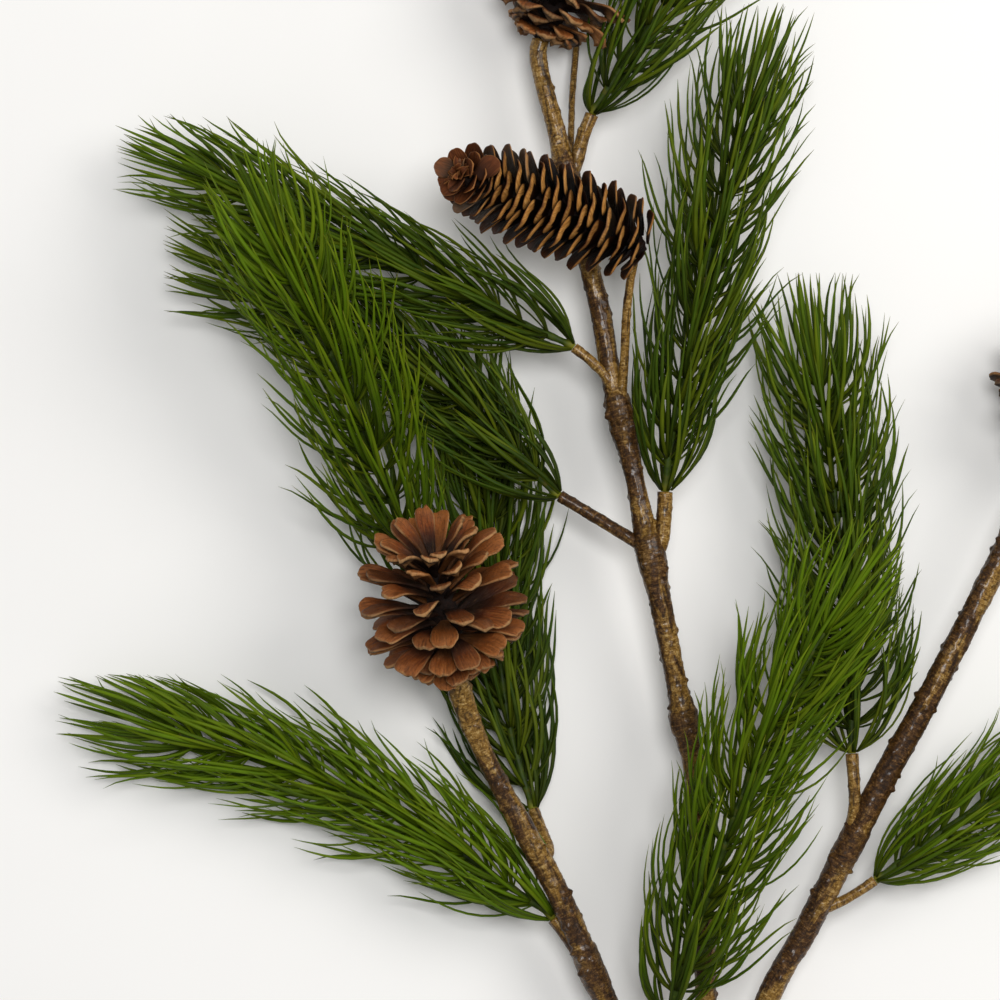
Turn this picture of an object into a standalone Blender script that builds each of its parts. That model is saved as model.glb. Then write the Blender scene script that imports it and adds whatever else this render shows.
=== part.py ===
"""A pine cone branch, lying on a table.

Three bark-covered stems fork from one cut stem. They carry ten sprays of needles, three open round
cones and one long cone. X runs across the branch, Y along it from the cut end to the top, and Z up
from the table. The origin is the middle of the flat spot under the main stem's cut end.

Lengths are in millimetres and angles in degrees until the meshes are made, which are in metres.
"""
import math
import random

import bmesh
import bpy
import numpy as np
from mathutils import Matrix, Vector
from mathutils.bvhtree import BVHTree

MM = 0.001
GOLDEN_ANGLE = math.pi * (3.0 - math.sqrt(5.0))

# A spray or cone starts this far past its twig's end, and runs straight at first.
SEAT_GAP = 0.3
SQUARE_START = 2.5
# Needles and scales stay this clear of other pieces.
CLEARANCE = 0.35
# The lowest that a needle's bend and its tip come over the table.
BEND_FLOOR = 1.3
TIP_FLOOR = 0.1
SMOOTH_ANGLE = 35.0

# Stems: (x, y, z, radius) down each centre line, thickest at the joint bands.
STEM_STEP = 30.0
STEM_LEVEL = 2
CENTRE_STEM = (
    (0.0, -24.0, 10.8, 11.8), (0.0, 0.0, 10.8, 11.8), (0.0, 28.0, 11.6, 11.2), (1.0, 60.0, 15.0, 9.6),
    (3.0, 105.0, 22.0, 6.4), (3.5, 160.0, 29.0, 5.6), (1.5, 220.0, 35.0, 5.5), (-4.0, 282.0, 40.0, 5.5),
    (-7.5, 297.0, 41.0, 6.6), (-9.0, 306.0, 41.6, 6.5), (-12.0, 320.0, 42.5, 5.3),
    (-20.0, 360.0, 45.0, 5.8), (-24.5, 383.0, 46.0, 6.8), (-27.5, 395.0, 46.0, 6.0),
    (-32.5, 420.0, 46.0, 4.8), (-39.0, 450.0, 45.0, 6.4), (-44.0, 470.0, 44.0, 5.4),
    (-50.0, 505.0, 42.0, 5.2), (-60.0, 545.0, 40.0, 5.0), (-66.5, 572.0, 39.0, 6.6),
    (-71.0, 592.0, 38.0, 4.8), (-78.5, 620.0, 37.0, 4.5), (-81.0, 633.0, 36.5, 4.4),
    (-79.5, 641.0, 36.5, 4.3),
)
LEFT_STEM = (
    (0.5, 58.0, 15.0, 5.0), (-8.0, 80.0, 20.0, 5.8), (-25.0, 112.0, 25.0, 5.8),
    (-50.0, 165.0, 31.0, 6.2), (-68.0, 207.0, 37.0, 6.0), (-88.0, 245.0, 43.0, 5.8),
    (-104.5, 276.0, 48.0, 5.0), (-114.0, 297.0, 51.5, 5.4), (-118.5, 310.0, 54.5, 5.8),
    (-121.0, 319.0, 58.5, 6.0), (-122.5, 326.0, 63.0, 5.8),
)
RIGHT_STEM = (
    (2.0, 72.0, 17.0, 5.0), (11.0, 98.0, 21.0, 5.8), (35.5, 160.5, 29.0, 6.0),
    (54.0, 195.0, 34.0, 6.2), (76.5, 240.0, 40.0, 6.4), (94.5, 275.0, 44.0, 6.4),
    (116.0, 315.0, 46.0, 6.2), (138.0, 357.0, 45.0, 5.9), (159.0, 400.0, 43.0, 5.6),
    (173.0, 429.0, 40.4, 5.4),
)

# Twigs: each runs from inside its stem to the seat of a spray or of the long cone, and one bare
# shoot ends under the top cone.
TWIG_STEP = 16.0
TWIG_LEVEL = 1
TWIGS = {
    "spray_1": ((-40.0, 455.0, 45.0, 3.4), (-46.0, 470.0, 47.0, 2.8), (-54.0, 479.0, 48.0, 2.7),
                (-63.0, 486.0, 48.0, 2.8)),
    "spray_2": ((-118.0, 309.0, 54.0, 4.2), (-124.0, 320.0, 40.0, 3.2), (-131.0, 338.0, 30.5, 3.0),
                (-135.0, 360.0, 30.0, 3.0)),
    "spray_3": ((-25.0, 385.0, 46.0, 3.6), (-40.0, 394.0, 44.0, 3.2), (-55.0, 403.0, 42.0, 3.1),
                (-70.0, 412.0, 41.0, 3.2)),
    "spray_4": ((-80.0, 229.0, 41.0, 4.0), (-76.0, 234.0, 33.0, 3.4), (-79.0, 243.0, 25.0, 3.2),
                (-83.0, 253.0, 18.5, 3.2)),
    "spray_5": ((-52.0, 170.0, 31.5, 4.4), (-62.0, 184.0, 32.0, 3.6), (-67.5, 192.0, 32.5, 3.4),
                (-73.0, 199.5, 32.5, 3.4)),
    "spray_6": ((-5.0, 74.0, 19.0, 4.0), (-13.0, 110.0, 31.0, 3.4), (-16.5, 135.0, 40.0, 3.2),
                (-16.0, 152.0, 46.0, 3.2)),
    "spray_7": ((76.0, 240.0, 40.0, 4.2), (77.5, 256.0, 43.5, 3.3), (77.0, 270.0, 44.5, 3.3),
                (76.0, 283.0, 44.0, 3.4)),
    "spray_8": ((60.0, 205.0, 35.5, 3.8), (70.0, 208.0, 36.0, 2.7), (79.0, 213.0, 36.5, 2.6),
                (88.0, 219.0, 36.5, 2.8)),
    "spray_9": ((-66.0, 570.0, 39.0, 4.0), (-61.5, 580.0, 40.0, 3.6), (-58.5, 592.0, 41.0, 3.5),
                (-54.0, 603.0, 41.5, 3.5)),
    "spray_10": ((-24.0, 381.0, 46.0, 4.4), (-19.5, 389.0, 46.0, 4.0), (-18.0, 401.0, 46.5, 3.9),
                 (-17.5, 414.0, 47.0, 3.9)),
    "cone_long": ((-40.0, 453.0, 46.0, 3.2), (-38.0, 480.0, 50.0, 2.4), (-37.0, 502.0, 53.5, 2.3),
                  (-35.0, 520.0, 58.0, 2.3), (-33.0, 531.0, 63.0, 2.6)),
    "bare_shoot": ((-66.0, 570.0, 39.0, 3.0), (-64.5, 590.0, 34.0, 1.9), (-63.5, 615.0, 24.0, 1.8),
                   (-61.0, 643.0, 11.0, 1.7)),
}

# Sprays: the leader's centre line from the twig on, the angle that its needles stand off it, and
# how flat the spray is where others pass over or under it: its height as a share of its width.
LEADER_STEP = 24.0
LEADER_LEVEL = 0
LEADER_RADII = (2.4, 1.5)
SPRAYS = {
    "spray_1": {"line": ((-95.0, 501.0, 49.0), (-125.0, 516.5, 50.0), (-155.0, 531.0, 49.0),
                         (-185.0, 545.0, 46.0), (-215.0, 558.5, 42.0), (-236.0, 568.0, 39.0)),
                "spread": 24.0, "flatness": 0.7},
    "spray_2": {"line": ((-144.0, 385.0, 34.0), (-154.0, 408.0, 43.0), (-163.0, 436.0, 56.0),
                         (-178.0, 470.0, 70.0), (-195.0, 505.0, 79.0), (-208.0, 530.0, 83.0)),
                "spread": 34.0, "flatness": 0.46},
    "spray_3": {"line": ((-105.0, 445.0, 38.0), (-140.0, 475.0, 35.0), (-180.0, 500.0, 31.0),
                         (-216.0, 517.5, 28.0)),
                "spread": 27.0, "flatness": 0.53},
    "spray_4": {"line": ((-94.0, 290.0, 13.5), (-100.0, 330.0, 12.5), (-101.5, 370.0, 12.5),
                         (-106.5, 410.0, 13.5), (-111.0, 438.0, 15.0)),
                "spread": 30.0, "flatness": 0.32},
    "spray_5": {"line": ((-100.0, 219.0, 31.0), (-130.0, 239.0, 28.0), (-170.0, 260.0, 25.0),
                         (-210.0, 276.0, 22.0), (-250.0, 288.0, 20.0), (-264.0, 292.0, 19.0)),
                "spread": 28.0, "flatness": 0.65},
    "spray_6": {"line": ((-5.0, 188.0, 56.0), (6.0, 222.0, 64.0), (19.0, 262.0, 70.0),
                         (35.0, 299.0, 74.0), (52.0, 331.0, 76.0), (61.0, 346.0, 77.0)),
                "spread": 33.0, "flatness": 0.46},
    "spray_7": {"line": ((76.0, 310.0, 41.0), (74.0, 350.0, 37.0), (69.5, 400.0, 35.0),
                         (64.0, 445.0, 34.0), (61.0, 468.0, 34.0)),
                "spread": 34.0, "flatness": 0.43},
    "spray_8": {"line": ((130.0, 249.0, 36.0), (175.0, 276.0, 34.0), (215.0, 301.0, 31.0),
                         (245.0, 319.0, 28.0)),
                "spread": 28.0, "flatness": 0.75},
    "spray_9": {"line": ((-30.0, 640.0, 41.0), (0.0, 682.5, 38.0), (30.0, 722.5, 34.0),
                         (50.0, 752.5, 31.0)),
                "spread": 27.0, "flatness": 0.75},
    "spray_10": {"line": ((-14.0, 445.0, 49.0), (-4.0, 485.0, 51.0), (4.0, 530.0, 52.0),
                          (14.0, 575.0, 52.0), (22.0, 602.0, 51.0)),
                 "spread": 28.0, "flatness": 0.65},
}

# Needles: slim three-sided tapers that bend forward once, in golden-angle steps up the leader. The
# first ones bulge out of the knot at the twig's end, and the last ones close the tip.
NEEDLES = 50
KNOT_NEEDLES = 6
TIP_NEEDLES = 8
NEEDLE_LENGTH = (60.0, 70.0)
NEEDLE_RADIUS = 1.15
NEEDLE_ROOT_RADIUS = 0.8
NEEDLE_BEND = 0.45
NEEDLE_BEND_REACH = 0.4
NEEDLE_TURN_VARIATION = 0.15
# The angle at which a needle leaves the leader, and its angle overall, as shares of the spread.
KNOT_ANGLES = (2.3, 0.85)
SIDE_ANGLES = (1.55, 1.0)
TIP_ANGLES = (0.6, 0.45)
SPREAD_VARIATION = 0.22
LEADER_START = 0.02
LEADER_END = 0.985
# Ways to bend a needle that would cross another piece: degrees round the leader, share of its
# spread, share of its length.
NEEDLE_TRIES = (
    (0.0, 1.0, 1.0), (14.0, 1.0, 1.0), (-14.0, 1.0, 1.0), (0.0, 0.7, 1.0), (28.0, 0.85, 1.0),
    (-28.0, 0.85, 1.0), (20.0, 0.6, 1.0), (-20.0, 0.6, 1.0), (0.0, 0.4, 1.0), (45.0, 0.6, 0.9),
    (-45.0, 0.6, 0.9), (0.0, 0.45, 0.8), (30.0, 0.3, 0.8), (-30.0, 0.3, 0.8),
)

# Cones: each core runs from its neck along an axis that may turn towards its tip, and carries
# scales in golden-angle steps. The reach is how far the longest scales get from the core's line.
CORE_STEP = 12.0
CORE_LEVEL = 2
CONES = {
    "cone_left": {"axis": (-0.16, 0.85, 0.5), "tip_axis": (-0.16, 0.85, 0.5), "neck": 5.0,
                  "core": 54.0, "reach": 41.0, "scales": 40, "seed": 3},
    "cone_top": {"axis": (0.42, 0.907, 0.0), "tip_axis": (0.42, 0.907, 0.0), "neck": 5.0,
                 "core": 48.0, "reach": 38.6, "scales": 40, "seed": 5},
    "cone_right": {"axis": (0.43, 0.9, 0.0), "tip_axis": (0.43, 0.9, 0.0), "neck": 5.0,
                   "core": 54.0, "reach": 43.6, "scales": 40, "seed": 8},
    "cone_long": {"axis": (-0.905, 0.34, 0.25), "tip_axis": (-0.87, 0.29, 0.4), "neck": 10.0,
                  "core": 101.0, "reach": 24.2, "scales": 62, "seed": 4},
}
SCALE_LOOP = 0.72
SCALE_ROOT = 4.0
SCALE_CURL = 9.0
SCALE_SPAN = (0.03, 0.96)
SCALE_LEAN_VARIATION = 3.0
SCALE_REACH_VARIATION = (0.95, 1.03)
SCALE_TURN_VARIATION = 0.05
# Ways to bend a scale that would cross another piece: degrees off its lean, share of its length.
SCALE_TRIES = ((0.0, 1.0), (-12.0, 1.0), (12.0, 1.0), (-24.0, 1.0), (24.0, 1.0), (0.0, 0.75), (0.0, 0.55))

# A block under the table's top, which trims the flat spots: width, length, depth and start in Y.
TABLE_BLOCK = (900.0, 1000.0, 40.0)
TABLE_START = -100.0

BARK_COLOUR = (0.25, 0.15, 0.07)
NEEDLE_COLOUR = (0.07, 0.15, 0.03)
ROUND_CONE_COLOUR = (0.30, 0.14, 0.06)
LONG_CONE_COLOUR = (0.42, 0.22, 0.09)


def profile(*stops):
    """A function of t that runs straight between (t, value) stops."""
    places, values = zip(*stops)
    return lambda t: float(np.interp(t, places, values))


# The two kinds of cone. From base to tip: the core's radius, how far a scale leans off the axis, its
# length as a share of the reach, and how narrow it is. Out along a scale: half its width and depth.
ROUND_KIND = {
    "core": profile((0.0, 5.0), (0.12, 8.0), (0.7, 7.0), (1.0, 3.5)),
    "lean": profile((0.0, 97.0), (0.3, 82.0), (0.65, 62.0), (1.0, 20.0)),
    "length": profile((0.0, 0.86), (0.3, 1.0), (0.7, 0.95), (1.0, 0.68)),
    "taper": profile((0.0, 0.9), (0.5, 1.0), (1.0, 0.6)),
    "width": profile((0.0, 1.6), (SCALE_LOOP, 7.4), (1.0, 4.4)),
    "depth": profile((0.0, 1.1), (SCALE_LOOP, 1.3), (1.0, 0.9)),
}
LONG_KIND = {
    "core": profile((0.0, 3.0), (0.1, 8.0), (0.3, 10.5), (0.7, 9.5), (0.92, 6.0), (1.0, 2.5)),
    "lean": profile((0.0, 104.0), (0.1, 97.0), (0.7, 90.0), (0.9, 74.0), (1.0, 46.0)),
    "length": profile((0.0, 0.78), (0.15, 1.0), (0.6, 0.94), (1.0, 0.72)),
    "taper": profile((0.0, 0.9), (0.15, 1.0), (0.6, 0.97), (1.0, 0.7)),
    "width": profile((0.0, 2.6), (SCALE_LOOP, 8.6), (1.0, 6.4)),
    "depth": profile((0.0, 1.2), (SCALE_LOOP, 1.0), (1.0, 0.8)),
}
# Out along a needle: its radius.
NEEDLE_TAPER = profile((0.0, NEEDLE_ROOT_RADIUS), (NEEDLE_BEND, NEEDLE_RADIUS), (1.0, 0.0))


def smooth_route(points, step):
    """The given points, and more about a step apart on a smooth curve between them."""
    knots = np.array(points, dtype=float)
    ends = np.vstack([2 * knots[0] - knots[1], knots, 2 * knots[-1] - knots[-2]])
    route = []
    for a, b, c, d in zip(ends[:-3], ends[1:-2], ends[2:-1], ends[3:]):
        count = max(1, round(np.linalg.norm(c[:3] - b[:3]) / step))
        for t in np.linspace(0.0, 1.0, count, endpoint=False):
            route.append(0.5 * (2 * b + (c - a) * t + (2 * a - 5 * b + 4 * c - d) * t * t
                                + (3 * b - a - 3 * c + d) * t ** 3))
    return np.vstack(route + [knots[-1]])


def seat_on(route):
    """The point a seat's gap past the end of a route, and the direction there."""
    last, before = Vector(route[-1][:3]), Vector(route[-2][:3])
    ahead = (last - before).normalized()
    return last + ahead * SEAT_GAP, ahead


def grown_line(seat, ahead, points, step):
    """A smooth line through the points that leaves its seat square to it."""
    first = seat + ahead * SQUARE_START
    return np.vstack([tuple(seat), smooth_route([tuple(first)] + [tuple(p) for p in points], step)])


def point_on(line, share):
    """The point a share of the way along a line, and the direction there."""
    along = np.concatenate([[0.0], np.cumsum(np.linalg.norm(np.diff(line, axis=0), axis=1))])
    here = share * along[-1]
    i = min(int(np.searchsorted(along, here, side="right")) - 1, len(line) - 2)
    low, high = Vector(line[i]), Vector(line[i + 1])
    return low.lerp(high, (here - along[i]) / (along[i + 1] - along[i])), (high - low).normalized()


def around(axis):
    """Two directions square to an axis and to each other, the first of them level."""
    level = Vector((0.0, 0.0, 1.0)).cross(axis).normalized()
    return level, axis.cross(level).normalized()


def tube(name, route, level):
    """A round solid down a route of (x, y, z, radius), as a mesh with welded caps."""
    curve = bpy.data.curves.new(name, "CURVE")
    curve.dimensions = "3D"
    curve.bevel_depth = MM
    curve.bevel_resolution = level
    curve.use_fill_caps = True
    spline = curve.splines.new("POLY")
    spline.points.add(len(route) - 1)
    for point, (x, y, z, radius) in zip(spline.points, route):
        point.co = (x * MM, y * MM, z * MM, 1.0)
        point.radius = radius
    rod = bpy.data.objects.new(name, curve)
    bpy.context.scene.collection.objects.link(rod)
    evaluated = rod.evaluated_get(bpy.context.evaluated_depsgraph_get())
    mesh = bpy.data.meshes.new_from_object(evaluated)
    bpy.data.objects.remove(rod)
    bpy.data.curves.remove(curve)
    bm = bmesh.new()
    bm.from_mesh(mesh)
    bmesh.ops.remove_doubles(bm, verts=bm.verts, dist=0.01 * MM)
    bmesh.ops.recalc_face_normals(bm, faces=bm.faces)
    bm.to_mesh(mesh)
    bm.free()
    return mesh


def bar(sides, loops, pointed=False):
    """A unit bar along Z with the given number of sides and extra loops between its ends."""
    bm = bmesh.new()
    bmesh.ops.create_cone(bm, cap_ends=True, segments=sides, radius1=1.0, radius2=0.0 if pointed else 1.0,
                          depth=1.0, matrix=Matrix.Translation((0.0, 0.0, 0.5)))
    for height in loops:
        bmesh.ops.bisect_plane(bm, geom=bm.verts[:] + bm.edges[:] + bm.faces[:],
                               plane_co=(0.0, 0.0, height), plane_no=(0.0, 0.0, 1.0))
    # A three-sided bar has its corners on the unit circle, and a four-sided one on the unit square.
    corner, shift = (math.sqrt(2.0), math.pi / 4.0) if sides == 4 else (1.0, 0.0)
    for vertex in bm.verts:
        on_axis = vertex.co.xy.length < 0.01
        turn = math.atan2(vertex.co.y, vertex.co.x) + shift
        reach = 0.0 if on_axis else corner
        vertex.co.x, vertex.co.y = reach * math.cos(turn), reach * math.sin(turn)
    mesh = bpy.data.meshes.new("bar")
    bm.to_mesh(mesh)
    bm.free()
    return mesh


def bend_bar(template, path, side, width, depth, extra=0.0):
    """A copy of a bar bent along a three-point curve, its half width and depth given by height."""
    start, middle, end = path
    mesh = template.copy()
    for vertex in mesh.vertices:
        x, y, t = vertex.co
        centre = start * (1 - t) ** 2 + middle * (2 * t * (1 - t)) + end * t * t
        ahead = ((middle - start) * (1 - t) + (end - middle) * t).normalized()
        across = (side - ahead * side.dot(ahead)).normalized()
        up = ahead.cross(across)
        vertex.co = (centre + across * (x * (width(t) + extra)) + up * (y * (depth(t) + extra))) * MM
    return mesh


def tree_of(mesh):
    """The surface of a mesh, to test what crosses it."""
    return BVHTree.FromPolygons([vertex.co.copy() for vertex in mesh.vertices],
                                [tuple(face.vertices) for face in mesh.polygons])


def is_clear(mesh, obstacles):
    """Whether a mesh crosses none of the obstacles."""
    tree = tree_of(mesh)
    bpy.data.meshes.remove(mesh)
    return not any(tree.overlap(other) for other in obstacles)


def unite(name, core, pieces, colour, collection):
    """One solid of a core mesh and the meshes that grow from it, as an object."""
    joined = bpy.data.objects.new(name, core)
    bpy.context.scene.collection.objects.link(joined)
    group = bpy.data.collections.new(name + "_pieces")
    bpy.context.scene.collection.children.link(group)
    for mesh in pieces:
        group.objects.link(bpy.data.objects.new(name + "_piece", mesh))
    union = joined.modifiers.new("union", "BOOLEAN")
    union.operand_type = "COLLECTION"
    union.collection = group
    union.operation = "UNION"
    evaluated = joined.evaluated_get(bpy.context.evaluated_depsgraph_get())
    mesh = bpy.data.meshes.new_from_object(evaluated)
    for piece in list(group.objects):
        bpy.data.objects.remove(piece)
    bpy.data.collections.remove(group)
    bpy.data.objects.remove(joined)
    mesh.materials.clear()
    mesh.materials.append(material(name, *colour))
    part = bpy.data.objects.new(name, mesh)
    collection.objects.link(part)
    return part


def material(name, colour, roughness):
    made = bpy.data.materials.new(name)
    made.use_nodes = True
    shader = made.node_tree.nodes["Principled BSDF"]
    shader.inputs["Base Color"].default_value = (*colour, 1.0)
    shader.inputs["Roughness"].default_value = roughness
    shader.inputs["Metallic"].default_value = 0.0
    made.diffuse_color = (*colour, 1.0)
    return made


def make_stems(stem_lines, twig_lines, collection):
    """All stems and twigs, which grew as one piece of wood."""
    centre, left, right = (tube("stem", line, STEM_LEVEL) for line in stem_lines)
    twigs = [tube("twig", line, TWIG_LEVEL) for line in twig_lines]
    return unite("stems", centre, [left, right] + twigs, (BARK_COLOUR, 0.45), collection)


def needle_path(root, ahead, outward, length, start_angle, spread):
    """A needle's curve: out of the leader at one angle, then swept forward to a smaller one."""
    start, whole = math.radians(start_angle), math.radians(spread)
    bend = root + (ahead * math.cos(start) + outward * math.sin(start)) * (NEEDLE_BEND_REACH * length)
    tip = root + (ahead * math.cos(whole) + outward * math.sin(whole)) * length
    bend.z = max(bend.z, BEND_FLOOR)
    tip.z = max(tip.z, TIP_FLOOR)
    return root, bend, tip


def make_spray(name, spec, twig_line, seed, obstacles, template, collection):
    """A leader with needles all round, bent clear of the pieces that are there already."""
    chance = random.Random(seed)
    seat, ahead = seat_on(twig_line)
    line = grown_line(seat, ahead, spec["line"], LEADER_STEP)
    leader = tube(name, np.column_stack([line, np.linspace(*LEADER_RADII, len(line))]), LEADER_LEVEL)
    needles = []
    for i in range(NEEDLES):
        share = LEADER_START + (LEADER_END - LEADER_START) * i / (NEEDLES - 1)
        root, ahead = point_on(line, share)
        level, upright = around(ahead)
        start_angle, spread = SIDE_ANGLES
        if i < KNOT_NEEDLES:
            start_angle, spread = KNOT_ANGLES
        elif i >= NEEDLES - TIP_NEEDLES:
            start_angle, spread = TIP_ANGLES
        start_angle *= spec["spread"]
        spread *= spec["spread"] * chance.uniform(1.0 - SPREAD_VARIATION, 1.0 + SPREAD_VARIATION)
        turn = i * GOLDEN_ANGLE + chance.uniform(-NEEDLE_TURN_VARIATION, NEEDLE_TURN_VARIATION)
        length = chance.uniform(*NEEDLE_LENGTH)
        for swing, sweep, cut in NEEDLE_TRIES:
            angle = turn + math.radians(swing)
            outward = level * math.cos(angle) + upright * (math.sin(angle) * spec["flatness"])
            path = needle_path(root, ahead, outward, length * cut, start_angle * sweep, spread * sweep)
            shape = (template, path, ahead.cross(outward), NEEDLE_TAPER, NEEDLE_TAPER)
            if is_clear(bend_bar(*shape, extra=CLEARANCE), obstacles):
                needles.append(bend_bar(*shape))
                break
    return unite(name, leader, needles, (NEEDLE_COLOUR, 0.45), collection)


def cone_line(spec, foot, t):
    """The point a share of the way up a cone's core, and the axis there."""
    axis, tip_axis = Vector(spec["axis"]).normalized(), Vector(spec["tip_axis"]).normalized()
    turned = axis + (tip_axis - axis) * t
    return foot + (axis + turned) * (0.5 * t * spec["core"]), turned.normalized()


def make_cone(name, spec, kind, colour, twig_line, obstacles, template, collection):
    """An open cone: a core that turns from its twig's direction to its axis, and the scales round it."""
    chance = random.Random(spec["seed"])
    seat, ahead = seat_on(twig_line)
    foot = seat + ahead * spec["neck"]
    stops = [cone_line(spec, foot, t)[0] for t in (0.0, 0.5, 1.0)]
    line = grown_line(seat, ahead, stops, CORE_STEP)
    radii = [kind["core"](t) for t in np.linspace(0.0, 1.0, len(line))]
    core = tube(name, np.column_stack([line, radii]), CORE_LEVEL)
    scales = []
    for i in range(spec["scales"]):
        t = (i + 0.5) / spec["scales"]
        base, axis = cone_line(spec, foot, SCALE_SPAN[0] + (SCALE_SPAN[1] - SCALE_SPAN[0]) * t)
        level, upright = around(axis)
        lean = kind["lean"](t) + chance.uniform(-SCALE_LEAN_VARIATION, SCALE_LEAN_VARIATION)
        length = spec["reach"] * kind["length"](t) * chance.uniform(*SCALE_REACH_VARIATION)
        turn = i * GOLDEN_ANGLE + chance.uniform(-SCALE_TURN_VARIATION, SCALE_TURN_VARIATION)
        outward = level * math.cos(turn) + upright * math.sin(turn)
        taper = kind["taper"](t)
        for tilt, cut in SCALE_TRIES:
            low, high = math.radians(lean + tilt - SCALE_CURL), math.radians(lean + tilt + SCALE_CURL)
            first = axis * math.cos(low) + outward * math.sin(low)
            last = axis * math.cos(high) + outward * math.sin(high)
            root = base + first * SCALE_ROOT
            half = 0.5 * (length * cut - SCALE_ROOT)
            path = (root, root + first * half, root + (first + last) * half)
            shape = (template, path, axis.cross(outward), lambda s: taper * kind["width"](s), kind["depth"])
            if is_clear(bend_bar(*shape, extra=CLEARANCE), obstacles):
                scales.append(bend_bar(*shape))
                break
    return unite(name, core, scales, (colour, 0.6), collection)


def table_cutter(collection):
    """The block under the table's top."""
    width, length, depth = TABLE_BLOCK
    bpy.ops.mesh.primitive_cube_add(size=MM)
    cutter = bpy.context.object
    cutter.name = "table"
    cutter.data.transform(Matrix.Diagonal((width, length, depth, 1.0)))
    cutter.location = (0.0, (TABLE_START + 0.5 * length) * MM, -0.5 * depth * MM)
    cutter.hide_render = True
    cutter.display_type = "WIRE"
    for holder in list(cutter.users_collection):
        holder.objects.unlink(cutter)
    collection.objects.link(cutter)
    return cutter


def trim(part, cutter):
    """Flat spots where a part meets the table."""
    cut = part.modifiers.new("flat spots", "BOOLEAN")
    cut.operation = "DIFFERENCE"
    cut.object = cutter


def main():
    for old in list(bpy.data.objects):
        bpy.data.objects.remove(old)
    branch = bpy.data.collections.new("pine_cone_branch")
    cutters = bpy.data.collections.new("cutters")
    for group in (branch, cutters):
        bpy.context.scene.collection.children.link(group)
    cutter = table_cutter(cutters)
    needle_bar = bar(3, (NEEDLE_BEND,), pointed=True)
    scale_bar = bar(4, (SCALE_LOOP,))

    stem_lines = [smooth_route(route, STEM_STEP) for route in (CENTRE_STEM, LEFT_STEM, RIGHT_STEM)]
    twig_lines = {name: smooth_route(route, TWIG_STEP) for name, route in TWIGS.items()}
    stems = make_stems(stem_lines, twig_lines.values(), branch)
    trim(stems, cutter)
    obstacles = [tree_of(stems.data)]

    cone_twigs = dict(zip(("cone_top", "cone_left", "cone_right"), stem_lines))
    cone_twigs["cone_long"] = twig_lines["cone_long"]
    for name, spec in CONES.items():
        kind, colour = ROUND_KIND, ROUND_CONE_COLOUR
        if name == "cone_long":
            kind, colour = LONG_KIND, LONG_CONE_COLOUR
        cone = make_cone(name, spec, kind, colour, cone_twigs[name], obstacles, scale_bar, branch)
        trim(cone, cutter)
        obstacles.append(tree_of(cone.data))

    for seed, (name, spec) in enumerate(SPRAYS.items()):
        spray = make_spray(name, spec, twig_lines[name], seed, obstacles, needle_bar, branch)
        obstacles.append(tree_of(spray.data))

    for mesh in (needle_bar, scale_bar):
        bpy.data.meshes.remove(mesh)
    for part in branch.objects:
        part.data.shade_smooth()
        part.data.set_sharp_from_angle(angle=math.radians(SMOOTH_ANGLE))


main()
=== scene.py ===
"""The looks of a pine cone branch that lies on a table: its bark, needles and cones in full detail.

Lengths are in millimetres, and in metres from the meshes on, as for the floor, lamps and camera.
"""

import math

import bpy
import numpy as np
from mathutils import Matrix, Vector


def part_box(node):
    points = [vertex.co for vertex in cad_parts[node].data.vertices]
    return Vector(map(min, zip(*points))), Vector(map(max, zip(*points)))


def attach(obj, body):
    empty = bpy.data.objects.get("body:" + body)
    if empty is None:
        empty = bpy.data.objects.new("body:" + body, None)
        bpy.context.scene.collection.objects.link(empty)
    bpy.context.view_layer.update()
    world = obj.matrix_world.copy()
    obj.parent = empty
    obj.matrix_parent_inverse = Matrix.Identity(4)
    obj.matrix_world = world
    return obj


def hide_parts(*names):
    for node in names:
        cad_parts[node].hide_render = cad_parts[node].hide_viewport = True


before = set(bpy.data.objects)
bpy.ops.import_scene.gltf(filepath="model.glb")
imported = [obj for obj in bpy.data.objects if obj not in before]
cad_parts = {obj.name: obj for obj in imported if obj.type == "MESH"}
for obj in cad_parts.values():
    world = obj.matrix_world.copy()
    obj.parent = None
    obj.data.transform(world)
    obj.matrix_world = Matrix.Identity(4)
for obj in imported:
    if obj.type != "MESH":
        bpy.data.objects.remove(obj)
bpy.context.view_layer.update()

MM = 0.001
GOLDEN_ANGLE = math.pi * (3.0 - math.sqrt(5.0))
UP = np.array((0.0, 0.0, 1.0))

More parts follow.
